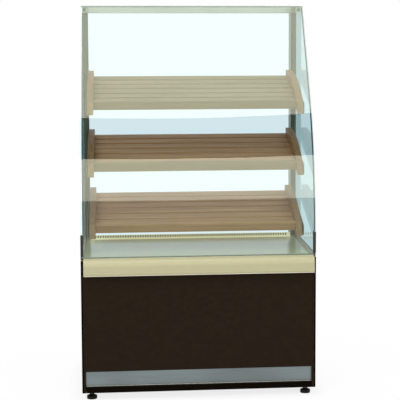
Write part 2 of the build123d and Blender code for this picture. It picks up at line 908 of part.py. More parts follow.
def build_nodes():
    """All pieces by node name."""
    nodes = {
        "base_bottom_panel": bottom_panel(),
        "plinth_board": plinth_board(),
        "front_bottom_rail": front_bottom_rail(),
        "kick_plate": kick_plate(),
        "front_panel": front_panel(),
        "front_top_rail": front_top_rail(),
        "bumper_moulding": bumper_moulding(),
        "deck_panel": deck_panel(),
        "rear_upstand": rear_upstand(),
        "storage_shelf": storage_shelf(),
        "storage_shelf_pins": shelf_pins(),
        "foot_inserts": foot_inserts(),
        "door_catches": door_catches(),
        "door_hinges_fixed": door_hinges_fixed(),
        "door_hinge_pins": door_hinge_pins(),
        "post_base_plates": post_base_plates(),
        "rear_posts": rear_posts(),
        "top_side_rails": top_side_rails(),
        "top_cross_bar": top_cross_bar(),
        "top_glass": top_glass(),
        "side_glass_channels": side_glass_channels(),
        "front_glass": front_glass(),
        "front_glass_seal": front_glass_seal(),
        "glass_buffers": glass_buffers(),
        "glass_clamps": glass_clamps(),
        "glass_hinge_brackets": glass_hinge_brackets(),
        "glass_hinge_pins": glass_hinge_pins(),
    }
    for side in ("left", "right"):
        nodes["base_side_panel_" + side] = side_panel(side)
        nodes["side_glass_" + side] = side_glass(side)
        nodes["storage_door_" + side] = storage_door(side)
        nodes["door_handle_" + side] = door_handle(side)
        nodes["door_hinge_leaves_" + side] = door_hinge_leaves(side)
    for level in shelf_heights:
        nodes["shelf_" + level + "_side_rails"] = shelf_side_rails(level)
        nodes["shelf_" + level + "_slats"] = shelf_slats(level)
        nodes["shelf_" + level + "_front_lip"] = shelf_front_lip(level)
        nodes["shelf_" + level + "_battens"] = shelf_battens(level)
        nodes["shelf_" + level + "_brackets"] = shelf_brackets(level)
    for name in foot_places():
        nodes["foot_pad_" + name] = foot_pad(name)
        nodes["foot_stem_" + name] = foot_stem(name)
    return nodes


os.makedirs("parts", exist_ok=True)
for node_name, solids in build_nodes().items():
    export_step(solids, "parts/" + node_name + ".step")
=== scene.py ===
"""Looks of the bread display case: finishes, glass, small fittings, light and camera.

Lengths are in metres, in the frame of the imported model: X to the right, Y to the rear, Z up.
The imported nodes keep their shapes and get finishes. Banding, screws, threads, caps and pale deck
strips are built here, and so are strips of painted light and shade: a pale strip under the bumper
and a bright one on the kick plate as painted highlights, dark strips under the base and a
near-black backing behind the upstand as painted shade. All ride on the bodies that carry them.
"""
import logging
from dataclasses import dataclass
from enum import Enum
from math import cos, pi, radians, sin

import bmesh
import bpy
from mathutils import Matrix, Vector


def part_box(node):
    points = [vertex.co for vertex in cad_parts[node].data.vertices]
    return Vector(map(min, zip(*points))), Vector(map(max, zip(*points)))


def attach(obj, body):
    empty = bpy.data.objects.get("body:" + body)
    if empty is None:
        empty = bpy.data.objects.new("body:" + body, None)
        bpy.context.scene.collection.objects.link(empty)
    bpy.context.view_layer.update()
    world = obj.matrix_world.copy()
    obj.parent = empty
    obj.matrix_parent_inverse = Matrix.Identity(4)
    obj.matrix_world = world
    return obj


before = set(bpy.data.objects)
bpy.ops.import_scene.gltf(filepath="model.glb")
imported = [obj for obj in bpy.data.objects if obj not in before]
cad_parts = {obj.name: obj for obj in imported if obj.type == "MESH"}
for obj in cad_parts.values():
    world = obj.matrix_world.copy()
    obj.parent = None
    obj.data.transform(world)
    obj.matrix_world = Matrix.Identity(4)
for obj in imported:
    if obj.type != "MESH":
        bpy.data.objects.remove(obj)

log = logging.getLogger("display_case")
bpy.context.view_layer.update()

Colour = tuple[float, float, float]
Point = tuple[float, float, float]
Span = tuple[float, float]
Mesh = bmesh.types.BMesh
Node = bpy.types.Node
NodeTree = bpy.types.NodeTree
Socket = bpy.types.NodeSocket
WHITE: Colour = (1.0, 1.0, 1.0)
BLACK: Colour = (0.0, 0.0, 0.0)
FULL_SPAN: Span = (0.0, 1.0)
BUMP_STRENGTH = 0.6
BLOCK_EDGE_STEPS = 3

# Where a Mix node keeps its colours among its sockets
COLOUR_INPUTS = (6, 7)
COLOUR_OUTPUT = 2

# What a shader group puts out is a plain number unless it is named here
OUTPUT_SOCKETS = {"Color": "NodeSocketColor", "Normal": "NodeSocketVector"}


class Noise(Enum):
    """Noise patterns: cells per metre along X, Y and Z, finer layers, and the span that counts."""

    LAMINATE_CLOUD = ((38.0, 38.0, 60.0), 2.0, (0.35, 0.7))
    WOOD_BANDS = ((2.2, 95.0, 95.0), 3.0, (0.36, 0.66))
    WOOD_PORES = ((14.0, 420.0, 420.0), 1.0, (0.55, 0.8))
    WOOD_FIGURE = ((5.0, 22.0, 22.0), 2.0, (0.35, 0.7))
    METAL_LINES = ((6.0, 1500.0, 1500.0), 2.0, (0.3, 0.7))
    METAL_CLOUD = ((3.0, 9.0, 9.0), 2.0, (0.3, 0.7))
    RUBBED_SPOTS = ((90.0, 90.0, 90.0), 3.0, (0.42, 0.7))
    DUST_PATCHES = ((14.0, 14.0, 14.0), 4.0, (0.3, 0.75))


class Graph:
    """Adds nodes to one node tree and joins their sockets."""

    def __init__(self, tree: NodeTree) -> None:
        """Keeps the tree."""
        self.tree = tree

    def feed(self, target: Socket, source: object) -> None:
        """Joins a socket to the target, or sets the target's own value.

        Args:
            target: The input socket.
            source: An output socket or a plain value, which is a number, a vector or a colour.
        """
        if isinstance(source, Socket):
            self.tree.links.new(source, target)
        else:
            target.default_value = (*source, 1.0) if target.type == "RGBA" else source

    def add(self, kind: str, *sources: object, **settings: object) -> Node:
        """Adds a node.

        Args:
            kind: The node's type name, without ShaderNode at its start.
            sources: Sockets or plain values for its first inputs, in their order.
            settings: Properties to set on the node.

        Returns:
            The new node.
        """
        node = self.tree.nodes.new("ShaderNode" + kind)
        for name, value in settings.items():
            setattr(node, name, value)
        for target, source in zip(node.inputs, sources):
            self.feed(target, source)
        return node

    def fill(self, node: Node, **sources: object) -> Node:
        """Feeds inputs of a node by their names.

        Args:
            node: The node.
            sources: A socket or a plain value by the input's name, with _ for a space.

        Returns:
            The same node.
        """
        for name, source in sources.items():
            self.feed(node.inputs[name.replace("_", " ")], source)
        return node

    def maths(self, operation: str, first: object, second: object = 0.0) -> Socket:
        """Returns the result of a Math node on two numbers or sockets."""
        return self.add("Math", first, second, operation=operation).outputs[0]

    def vectors(self, operation: str, first: object, second: object) -> Node:
        """Returns a Vector Math node on two vectors or sockets."""
        return self.add("VectorMath", first, second, operation=operation)

    def mixed(self, share: Socket, first: Socket, second: Socket) -> Socket:
        """Returns two shaders mixed by the share of the second one."""
        return self.add("MixShader", share, first, second).outputs[0]

    def spread(self, value: Socket, span: Span, result: Span = FULL_SPAN) -> Socket:
        """Returns a value with a span of it mapped onto another span and held at both ends."""
        return self.add("MapRange", value, *span, *result).outputs["Result"]

    def blend(self, share: Socket, first: object, second: object) -> Socket:
        """Blends two colours.

        Args:
            share: The share of the second colour.
            first: The first colour, a socket or a plain colour.
            second: The second colour, a socket or a plain colour.

        Returns:
            The blended colour.
        """
        node = self.add("Mix", share, data_type="RGBA")
        for place, colour in zip(COLOUR_INPUTS, (first, second)):
            self.feed(node.inputs[place], colour)
        return node.outputs[COLOUR_OUTPUT]

    def noise(self, vector: Socket, kind: Noise, strength: float = 1.0) -> tuple[Socket, Socket]:
        """Adds noise that is scaled along each axis by itself.

        Args:
            vector: The place on the surface.
            kind: Which noise.
            strength: What the top of the noise's span stands for.

        Returns:
            The raw noise, around 0.5, and its span, from 0 up to the strength.
        """
        cells, detail, span = kind.value
        scaled = self.vectors("MULTIPLY", vector, cells).outputs[0]
        texture = self.add("TexNoise")
        raw = self.fill(texture, Vector=scaled, Scale=1.0, Detail=detail).outputs["Fac"]
        return raw, self.spread(raw, span, (0.0, strength))

    def seen_plainly(self) -> Socket:
        """Finds the rays that show what stands behind the object.

        Returns:
            1 for rays from the camera, from mirrors and through glass, and otherwise 0.
        """
        path = self.add("LightPath").outputs
        seen = self.maths("MAXIMUM", path["Is Camera Ray"], path["Is Glossy Ray"])
        return self.maths("MAXIMUM", seen, path["Is Transmission Ray"])


class GroupKind(Enum):
    """The shader groups that more than one finish uses: each one's name and what it puts out."""

    SPECKLE = ("fine_speckle", "Color", "Roughness", "Height")
    GRAIN = ("wood_grain", "Color", "Roughness", "Height")
    BRUSHING = ("brushed_lines", "Color", "Roughness", "Height")
    SOFT_EDGE = ("soft_edge", "Normal", "Wear")
    DUST = ("settled_dust", "Color")


class ShaderGroups:
    """Builds each shared shader group once.

    A span is where an effect starts and where it is full. A tone is a share of the dark colour.
    The shifts are metres along X, Y and Z by which the grain moves from piece to piece.
    """

    FLECK_SPAN = (0.5, 0.72)
    FLECK_DETAIL = 1.0
    FLECK_ROUGHNESS = (-0.05, 0.08)
    PIECE_SHIFTS = (7.0, 11.0, 15.0)
    PIECE_TONE = (-0.14, 0.14)
    BAND_TONE = 0.62
    PORE_TONE = 0.16
    FIGURE_TONE = 0.22
    BAND_SPAN = (0.3, 0.7)
    WOOD_ROUGHNESS = (0.42, 0.58)
    LINE_SPAN = (0.25, 0.75)
    LINE_ROUGHNESS = (-0.06, 0.1)
    LINE_SHADE = (0.04, 0.045, 0.05)
    BEVEL_SAMPLES = 4
    WORN_TURN = (1.0, 0.86)
    FACING_UP = (0.3, 0.95)

    def __init__(self) -> None:
        """Builds each group by the method of its name."""
        self.trees = {kind: getattr(self, kind.value[0])() for kind in GroupKind}

    @staticmethod
    def start(kind: GroupKind, **inputs: object) -> tuple[Graph, bpy.types.NodeOutputs, Node]:
        """Starts a group with its sockets, the first of which is always Vector.

        Args:
            kind: Which group it will be.
            inputs: The other inputs' default values, numbers or colours, with _ for a space.

        Returns:
            The group's graph, what it is given, and its output node.
        """
        name, *outputs = kind.value
        tree = bpy.data.node_groups.new(name, "ShaderNodeTree")
        tree.interface.new_socket("Vector", in_out="INPUT", socket_type="NodeSocketVector")
        for title, default in inputs.items():
            sort = "NodeSocketFloat" if isinstance(default, float) else "NodeSocketColor"
            socket = tree.interface.new_socket(title.replace("_", " "), in_out="INPUT",
                                               socket_type=sort)
            socket.default_value = default if isinstance(default, float) else (*default, 1.0)
        for title in outputs:
            tree.interface.new_socket(title, in_out="OUTPUT",
                                      socket_type=OUTPUT_SOCKETS.get(title, "NodeSocketFloat"))
        given = tree.nodes.new("NodeGroupInput").outputs
        return Graph(tree), given, tree.nodes.new("NodeGroupOutput")

    def fine_speckle(self) -> NodeTree:
        """Returns the fine flecks and the faint cloudiness of a laminate."""
        graph, given, out = self.start(GroupKind.SPECKLE, Ground=(0.5, 0.5, 0.5),
                                       Fleck=(0.8, 0.8, 0.8), Share=0.3, Fleck_Size=0.002,
                                       Gloss=0.5)
        scale = graph.maths("DIVIDE", 1.0, given["Fleck Size"])
        texture = graph.fill(graph.add("TexNoise"), Vector=given["Vector"], Scale=scale,
                             Detail=self.FLECK_DETAIL)
        fleck = texture.outputs["Fac"]
        spots = graph.spread(fleck, self.FLECK_SPAN)
        cloud = graph.noise(given["Vector"], Noise.LAMINATE_CLOUD)[1]
        shade = graph.maths("MULTIPLY", graph.maths("ADD", spots, cloud), 0.5)
        share = graph.maths("MULTIPLY", shade, given["Share"])
        rough = graph.spread(spots, FULL_SPAN, self.FLECK_ROUGHNESS)
        graph.fill(out, Color=graph.blend(share, given["Ground"], given["Fleck"]),
                   Roughness=graph.maths("ADD", given["Gloss"], rough), Height=fleck)
        return graph.tree

    def wood_grain(self) -> NodeTree:
        """Returns straight wood grain along X, with pores and a tone of its own for each piece."""
        graph, given, out = self.start(GroupKind.GRAIN, Light=(0.6, 0.4, 0.2),
                                       Dark=(0.3, 0.2, 0.1), Contrast=0.7)
        piece = graph.add("NewGeometry").outputs["Random Per Island"]
        shifts = [graph.maths("MULTIPLY", piece, shift) for shift in self.PIECE_SHIFTS]
        shift = graph.add("CombineXYZ", *shifts).outputs[0]
        moved = graph.vectors("ADD", given["Vector"], shift).outputs[0]
        bands, tone = graph.noise(moved, Noise.WOOD_BANDS, self.BAND_TONE)
        figure_tone = graph.noise(moved, Noise.WOOD_FIGURE, self.FIGURE_TONE)[1]
        pores, pore_tone = graph.noise(moved, Noise.WOOD_PORES, self.PORE_TONE)
        piece_tone = graph.spread(piece, FULL_SPAN, self.PIECE_TONE)
        for more in (figure_tone, pore_tone, piece_tone):
            tone = graph.maths("ADD", tone, more)
        share = graph.maths("MULTIPLY", tone, given["Contrast"])
        graph.fill(out, Color=graph.blend(share, given["Light"], given["Dark"]),
                   Roughness=graph.spread(bands, self.BAND_SPAN, self.WOOD_ROUGHNESS),
                   Height=graph.maths("SUBTRACT", 1.0, pores))
        return graph.tree

    def brushed_lines(self) -> NodeTree:
        """Returns the fine lines that brushing or drawing leaves on metal, along X."""
        graph, given, out = self.start(GroupKind.BRUSHING, Metal=(0.6, 0.6, 0.6),
                                       Depth=0.15, Gloss=0.35)
        lines, line_share = graph.noise(given["Vector"], Noise.METAL_LINES)
        cloud_share = graph.noise(given["Vector"], Noise.METAL_CLOUD)[1]
        dark = graph.maths("ADD", line_share, cloud_share)
        share = graph.maths("MULTIPLY", dark, given["Depth"])
        rough = graph.spread(lines, self.LINE_SPAN, self.LINE_ROUGHNESS)
        graph.fill(out, Color=graph.blend(share, given["Metal"], self.LINE_SHADE),
                   Roughness=graph.maths("ADD", given["Gloss"], rough), Height=lines)
        return graph.tree

    def soft_edge(self) -> NodeTree:
        """Returns a normal that rounds off sharp edges, and a mask of where they are worn."""
        graph, given, out = self.start(GroupKind.SOFT_EDGE, Radius=0.001)
        bevel = graph.add("Bevel", given["Radius"], samples=self.BEVEL_SAMPLES)
        flat = graph.add("NewGeometry").outputs["Normal"]
        turn = graph.vectors("DOT_PRODUCT", bevel.outputs["Normal"], flat).outputs["Value"]
        edge = graph.spread(turn, self.WORN_TURN)
        rubbed = graph.noise(given["Vector"], Noise.RUBBED_SPOTS)[1]
        graph.fill(out, Normal=bevel.outputs["Normal"], Wear=graph.maths("MULTIPLY", edge, rubbed))
        return graph.tree

    def settled_dust(self) -> NodeTree:
        """Returns a colour with a thin film of dust on what faces up."""
        graph, given, out = self.start(GroupKind.DUST, Color=(0.5, 0.5, 0.5),
                                       Film=(0.5, 0.48, 0.44), Amount=0.1)
        normal = graph.add("NewGeometry").outputs["Normal"]
        upward = graph.add("SeparateXYZ", normal).outputs["Z"]
        patches = graph.noise(given["Vector"], Noise.DUST_PATCHES)[1]
        lying = graph.maths("MULTIPLY", graph.spread(upward, self.FACING_UP), patches)
        mask = graph.maths("MULTIPLY", lying, given["Amount"])
        graph.fill(out, Color=graph.blend(mask, given["Color"], given["Film"]))
        return graph.tree


class GrainRun(Enum):
    """Which way the lines of a grained finish run, as turns about X, Y and Z in degrees."""

    ACROSS = (0.0, 0.0, 0.0)
    ALONG_SHELF = (0.0, 0.0, 90.0)
    UPRIGHT = (0.0, 90.0, 0.0)
    TO_REAR = (0.0, 0.0, -90.0)


class Surface(Graph):
    """The nodes of one new material, with its Principled shader and the shared groups at hand."""

    def __init__(self, name: str, groups: ShaderGroups | None = None) -> None:
        """Starts the material.

        Args:
            name: The material's name.
            groups: The shared shader groups, where the material uses them.
        """
        self.material = bpy.data.materials.new(name)
        self.material.use_nodes = True
        super().__init__(self.material.node_tree)
        self.groups = groups
        self.shader = self.tree.nodes["Principled BSDF"]
        self.place = self.add("TexCoord").outputs["Object"]

    def group(self, kind: GroupKind, **sources: object) -> Node:
        """Places a shared group.

        Args:
            kind: Which group.
            sources: Its inputs by name, with _ for a space. Vector is the place unless given.

        Returns:
            The group node.
        """
        node = self.add("Group", node_tree=self.groups.trees[kind])
        return self.fill(node, **{"Vector": self.place, **sources})

    def turned(self, run: GrainRun) -> Socket:
        """Returns the place, turned so that X runs along the grain."""
        turns = [radians(angle) for angle in run.value]
        return self.fill(self.add("Mapping", self.place), Rotation=turns).outputs["Vector"]

    def lay(self, skin: Node, worn: Colour, edge: float, relief: float, dust: float | None,
            **plain: object) -> None:
        """Lays a skin on the shader, with rounded and worn edges, relief and dust.

        Args:
            skin: The group node that gives colour, roughness and height.
            worn: The colour of worn edges.
            edge: The radius that sharp edges are rounded to.
            relief: What a height of 1 stands for.
            dust: How much dust lies on what faces up, or None.
            plain: The shader's own plain values by name, with _ for a space.
        """
        rounded = self.group(GroupKind.SOFT_EDGE, Radius=edge)
        colour = self.blend(rounded.outputs["Wear"], skin.outputs["Color"], worn)
        if dust is not None:
            colour = self.group(GroupKind.DUST, Color=colour, Amount=dust).outputs["Color"]
        bump = self.fill(self.add("Bump"), Distance=relief, Strength=BUMP_STRENGTH,
                         Height=skin.outputs["Height"], Normal=rounded.outputs["Normal"])
        self.fill(self.shader, Base_Color=colour, Roughness=skin.outputs["Roughness"],
                  Normal=bump.outputs["Normal"], **plain)

    def show(self, shader: Socket) -> None:
        """Shows a shader in place of the Principled one."""
        self.feed(self.tree.nodes["Material Output"].inputs["Surface"], shader)


@dataclass(frozen=True)
class Finish:
    """A finish with a name, which becomes one material."""

    name: str

    def build(self, groups: ShaderGroups) -> bpy.types.Material:
        """Builds the material.

        Args:
            groups: The shared shader groups.

        Returns:
            The material.
        """
        surface = Surface(self.name, groups)
        self.dress(surface)
        return surface.material

    def dress(self, surface: Surface) -> None:
        """Lays the finish on a new surface, each kind of finish in its own way."""
        raise NotImplementedError


@dataclass(frozen=True)
class Laminate(Finish):
    """Laminated board or a coloured moulding, with fine flecks, rubbed edges and an optional glow,
    which is painted light.
    """

    ground: Colour
    fleck: Colour
    share: float
    fleck_size: float
    gloss: float
    shine: float
    worn: Colour
    edge: float = 0.0012
    relief: float = 0.00004
    dust: float = 0.05
    # glow is painted light: an emission that brightens the surface though it is no lamp
    glow: Colour = BLACK

    def dress(self, surface: Surface) -> None:
        """Lays on the flecks, the shine and any glow, an emission that is painted light.

        Args:
            surface: The new material's nodes.
        """
        skin = surface.group(GroupKind.SPECKLE, Ground=self.ground, Fleck=self.fleck,
                             Share=self.share, Fleck_Size=self.fleck_size, Gloss=self.gloss)
        surface.lay(skin, self.worn, self.edge, self.relief, self.dust,
                    Specular_IOR_Level=self.shine, Emission_Color=self.glow,
                    Emission_Strength=1.0)


@dataclass(frozen=True)
class SolidWood(Finish):
    """Oiled solid wood."""

    light: Colour
    dark: Colour
    contrast: float
    run: GrainRun
    edge: float = 0.0015
    relief: float = 0.00006
    dust: float = 0.06
    shine: float = 0.35

    def dress(self, surface: Surface) -> None:
        """Lays on the grain.

        Args:
            surface: The new material's nodes.
        """
        skin = surface.group(GroupKind.GRAIN, Vector=surface.turned(self.run),
                             Light=self.light, Dark=self.dark, Contrast=self.contrast)
        # Worn edges take the light grain colour: real wear, and also a painted highlight along the
        # lips' top edges
        surface.lay(skin, self.light, self.edge, self.relief, self.dust,
                    Specular_IOR_Level=self.shine)


@dataclass(frozen=True)
class Metal(Finish):
    """Bare, anodised or plated metal with fine lines."""

    colour: Colour
    depth: float
    gloss: float
    run: GrainRun
    worn: Colour
    edge: float = 0.0008
    relief: float = 0.00003

    def dress(self, surface: Surface) -> None:
        """Lays on the brushed lines.

        Args:
            surface: The new material's nodes.
        """
        skin = surface.group(GroupKind.BRUSHING, Vector=surface.turned(self.run),
                             Metal=self.colour, Depth=self.depth, Gloss=self.gloss)
        surface.lay(skin, self.worn, self.edge, self.relief, None, Metallic=1.0)


@dataclass(frozen=True)
class Moulding(Finish):
    """Rubber, moulded plastic or a near-black backing that is painted shade, with a fine grain and a
    little dust.
    """

    colour: Colour
    pale: Colour
    roughness: float
    dust: float = 0.15
    shine: float = 0.5
    fleck_share: float = 0.35
    fleck_size: float = 0.0009
    edge: float = 0.001
    relief: float = 0.00008

    def dress(self, surface: Surface) -> None:
        """Lays on the fine grain.

        Args:
            surface: The new material's nodes.
        """
        skin = surface.group(GroupKind.SPECKLE, Ground=self.colour, Fleck=self.pale,
                             Share=self.fleck_share, Fleck_Size=self.fleck_size,
                             Gloss=self.roughness)
        surface.lay(skin, self.pale, self.edge, self.relief, self.dust,
                    Specular_IOR_Level=self.shine)


class PaneFace(Enum):
    """The axis that the faces of a pane look along, in the pane's own frame."""

    FRONT = (0.0, 1.0, 0.0)
    SIDE = (1.0, 0.0, 0.0)
    TOP = (0.0, 0.0, 1.0)


@dataclass(frozen=True)
class PaneGlass(Finish):
    """Clear sheet glass: tinted see-through faces that mirror by Fresnel, and ground edges.

    What is turned off the axis of the faces by more than edge_turn, a cosine, counts as an edge.
    """

    tint: Colour
    edge_colour: Colour
    face: PaneFace
    mirror_ior: float = 1.8
    # painted_edge_glow is painted light: an emission on the ground edges as if light ran through them
    painted_edge_glow: Colour = BLACK
    edge_turn: float = 0.7
    edge_gloss: float = 0.25
    chip_size: float = 0.004
    chip_share: float = 0.5
    chip_paleness: float = 1.8
    lamp_tint: Colour = (0.96, 0.97, 0.97)

    def dress(self, surface: Surface) -> None:
        """Lays on the faces and the ground edges, and lets lamp light straight through.

        Args:
            surface: The new material's nodes.
        """
        # A look through the pane crosses two faces, so each takes the root of the tint
        tint = tuple(part ** 0.5 for part in self.tint)
        through = surface.add("BsdfTransparent", tint)
        mirror = surface.fill(surface.add("BsdfGlossy"), Color=WHITE, Roughness=0.0)
        fresnel = surface.fill(surface.add("Fresnel"), IOR=self.mirror_ior)
        behind = surface.add("NewGeometry").outputs["Backfacing"]
        front_only = surface.maths("SUBTRACT", 1.0, behind)
        share = surface.maths("MULTIPLY", fresnel.outputs[0], front_only)
        face = surface.mixed(share, through.outputs[0], mirror.outputs[0])
        self.ground_edge(surface)
        pane = surface.mixed(self.edge_mask(surface), face, surface.shader.outputs[0])
        clear = surface.add("BsdfTransparent", self.lamp_tint)
        lamp = surface.add("LightPath").outputs["Is Shadow Ray"]
        surface.show(surface.mixed(lamp, pane, clear.outputs[0]))

    def edge_mask(self, surface: Surface) -> Socket:
        """Finds the ground edges by the way that they face.

        Args:
            surface: The new material's nodes.

        Returns:
            A mask that is 1 on the edges.
        """
        normal = surface.add("TexCoord").outputs["Normal"]
        turn = surface.vectors("DOT_PRODUCT", normal, self.face.value).outputs["Value"]
        return surface.maths("LESS_THAN", surface.maths("ABSOLUTE", turn), self.edge_turn)

    def ground_edge(self, surface: Surface) -> None:
        """Lays the finish of the ground edges, with any painted edge glow, on the Principled shader.

        Args:
            surface: The new material's nodes.
        """
        pale = tuple(min(1.0, part * self.chip_paleness) for part in self.edge_colour)
        skin = surface.group(GroupKind.SPECKLE, Ground=self.edge_colour, Fleck=pale,
                             Share=self.chip_share, Fleck_Size=self.chip_size,
                             Gloss=self.edge_gloss)
        surface.fill(surface.shader, Base_Color=skin.outputs["Color"],
                     Roughness=skin.outputs["Roughness"], Emission_Color=self.painted_edge_glow,
                     Emission_Strength=1.0)


class Finishes:
    """All finishes of the case, built once."""

    def __init__(self, groups: ShaderGroups) -> None:
        """Builds every finish.

        Args:
            groups: The shared shader groups.
        """
        dark_worn = (0.07, 0.05, 0.035)
        steel_worn = (0.75, 0.76, 0.76)
        side_tint = (0.59, 0.70, 0.71)
        # After its name a laminate has its ground, its flecks with their share and size, its
        # roughness, shine and worn edges. A metal has its colour, the depth of its lines, its
        # roughness, the run of its lines and its worn edges. A wood has its light and dark
        # grain, contrast and run. A moulding has its colour, pale flecks, roughness, dust and
        # shine. A pane has its tint, its ground edge, the way it faces and its mirror's index.
        kinds = [
            Laminate("front_laminate", (0.0165, 0.0102, 0.0052), (0.032, 0.021, 0.012), 0.4, 0.0022,
                     0.55, 0.05, dark_worn),
            Laminate("case_laminate", (0.0075, 0.005, 0.0035), (0.03, 0.022, 0.016), 0.35, 0.0022,
                     0.5, 0.2, dark_worn),
            Laminate("edge_banding", (0.006, 0.004, 0.0026), (0.012, 0.009, 0.006), 0.3, 0.002,
                     0.5, 0.0, (0.02, 0.014, 0.01)),
            Laminate("inner_laminate", (0.42, 0.41, 0.38), (0.5, 0.49, 0.46), 0.4, 0.0015,
                     0.5, 0.4, (0.6, 0.59, 0.56)),
            Laminate("deck_laminate", (0.50, 0.46, 0.215), (0.44, 0.40, 0.2), 0.3, 0.0018,
                     0.22, 0.35, (0.87, 0.79, 0.62)),
            Laminate("bumper", (0.50, 0.47, 0.28), (0.57, 0.54, 0.34), 0.35, 0.0012,
                     0.36, 0.45, (0.6, 0.57, 0.38), edge=0.002),
            # A pale strip under the bumper, a painted highlight along its lower edge
            Laminate("bumper_painted_highlight", (0.8, 0.76, 0.6), (0.86, 0.83, 0.7), 0.3, 0.001,
                     0.3, 0.5, (0.88, 0.86, 0.76), edge=0.0005),
            Metal("kick_plate", (0.26, 0.305, 0.325), 0.26, 0.42, GrainRun.ACROSS,
                  (0.5, 0.53, 0.54)),
            # The upstand's glow is painted light: it brightens the shaded strip as if lit from behind
            Laminate("upstand", (0.9, 0.82, 0.56), (0.95, 0.88, 0.66), 0.3, 0.0012,
                     0.35, 0.4, (0.92, 0.86, 0.68), glow=(0.36, 0.31, 0.19)),
            # The posts' near-black colour is painted shade: it stands in for the shade and dark
            # reflections on silver aluminium
            Metal("aluminium_upright_painted_shade", (0.112, 0.11, 0.088), 0.16, 0.36, GrainRun.UPRIGHT,
                  (0.3, 0.29, 0.25)),
            Metal("aluminium_across", (0.53, 0.5, 0.46), 0.14, 0.36, GrainRun.ACROSS, steel_worn),
            Metal("aluminium_to_rear", (0.3, 0.3, 0.26), 0.14, 0.36, GrainRun.TO_REAR, steel_worn),
            # The channels are the side rails' aluminium made paler, painted light that washes out the
            # shade on their inner walls
            Metal("channel", (0.6, 0.6, 0.52), 0.14, 0.4, GrainRun.TO_REAR, steel_worn),
            Metal("post_foot", (0.35, 0.36, 0.36), 0.2, 0.4, GrainRun.ACROSS, steel_worn),
            Metal("clamp", (0.045, 0.048, 0.046), 0.3, 0.45, GrainRun.UPRIGHT, (0.16, 0.17, 0.165)),
            Metal("bright_steel", (0.62, 0.63, 0.62), 0.12, 0.24, GrainRun.UPRIGHT, steel_worn),
            Metal("handle", (0.5, 0.51, 0.51), 0.14, 0.3, GrainRun.UPRIGHT, steel_worn),
            Metal("bracket", (0.2, 0.23, 0.25), 0.2, 0.42, GrainRun.ALONG_SHELF, (0.5, 0.52, 0.54)),
            Metal("foot_stem", (0.3, 0.3, 0.29), 0.25, 0.34, GrainRun.ACROSS, steel_worn),
            SolidWood("wood_across", (0.66, 0.33, 0.135), (0.28, 0.11, 0.037), 0.75, GrainRun.ACROSS),
            SolidWood("wood_along", (0.36, 0.18, 0.066), (0.155, 0.06, 0.019), 0.7,
                      GrainRun.ALONG_SHELF),
            # A darker copy of the shelf wood, painted shade for the lips and the top shelf's slats
            SolidWood("wood_painted_shade", (0.34, 0.22, 0.088), (0.15, 0.075, 0.025), 0.6, GrainRun.ACROSS),
            Moulding("rubber", (0.012, 0.012, 0.012), (0.05, 0.05, 0.05), 0.7),
            Moulding("glass_seal", (0.3, 0.28, 0.19), (0.36, 0.34, 0.25), 0.6),
            Moulding("catch", (0.5, 0.5, 0.48), (0.65, 0.65, 0.63), 0.45),
            Moulding("foot_pad", (0.005, 0.005, 0.005), (0.02, 0.02, 0.02), 0.5, 0.02, 0.12),
            # A near-black backing, painted shade that darkens what shows through the upstand's holes
            Moulding("painted_shade_backing", (0.008, 0.008, 0.008), (0.03, 0.03, 0.03), 0.9),
            PaneGlass("front_glass", (0.70, 0.865, 0.91), (0.3, 0.36, 0.3), PaneFace.FRONT),
            # The side panes are one glass: the left pane's pale edge and edge glow are painted light
            # from behind, the right pane's near-black edge is painted shade
            PaneGlass("side_glass_left", side_tint, (0.6, 0.6, 0.55), PaneFace.SIDE,
                      painted_edge_glow=(0.78, 0.66, 0.66)),
            PaneGlass("side_glass_right", side_tint, (0.02, 0.04, 0.045), PaneFace.SIDE, 1.15),
            PaneGlass("top_glass", (0.8, 0.88, 0.9), (0.05, 0.10, 0.11), PaneFace.TOP),
        ]
        self.materials = {kind.name: kind.build(groups) for kind in kinds}


def in_scene(name: str, data: bpy.types.ID) -> bpy.types.Object:
    """Puts a new object in the scene.

    Args:
        name: The object's name.
        data: Its mesh, lamp or camera data.

    Returns:
        The new object.
    """
    made = bpy.data.objects.new(name, data)
    bpy.context.scene.collection.objects.link(made)
    return made


def closed_tube(shape: Mesh, rings: list[list[bmesh.types.BMVert]]) -> None:
    """Joins rings that have the same number of points into a tube and closes its ends.

    Args:
        shape: The mesh under construction.
        rings: The rings, from one end to the other.
    """
    for lower, upper in zip(rings, rings[1:]):
        for i in range(len(lower)):
            j = (i + 1) % len(lower)
            shape.faces.new((lower[i], lower[j], upper[j], upper[i]))
    shape.faces.new(reversed(rings[0]))
    shape.faces.new(rings[-1])


def facing(point: Point, direction: Point) -> Matrix:
    """Returns a placement at a point with its Z along a direction."""
    turn = Vector((0, 0, 1)).rotation_difference(Vector(direction)).to_matrix().to_4x4()
    return Matrix.Translation(Vector(point)) @ turn


@dataclass(frozen=True)
class ScrewHead:
    """A pan head with a sunk socket, turned from shares of its radii and its height."""

    radius: float
    height: float
    socket: float
    sides: int = 18
    dome: tuple[Span, ...] = ((1.0, 0.0), (1.0, 0.45), (0.93, 0.75), (0.78, 0.94), (0.6, 1.0))
    sunk: tuple[Span, ...] = ((1.0, 1.0), (0.96, 0.35))

    def add(self, shape: Mesh, place: Matrix) -> None:
        """Adds one head.

        Args:
            shape: The mesh under construction.
            place: Where the head sits; its axis is the local Z and points out of the surface.
        """
        profile = [(self.radius * wide, self.height * high) for wide, high in self.dome]
        profile += [(self.socket * wide, self.height * high) for wide, high in self.sunk]
        turns = [2 * pi * i / self.sides for i in range(self.sides)]
        closed_tube(shape, [
            [shape.verts.new(place @ Vector((radius * cos(turn), radius * sin(turn), height)))
             for turn in turns]
            for radius, height in profile])


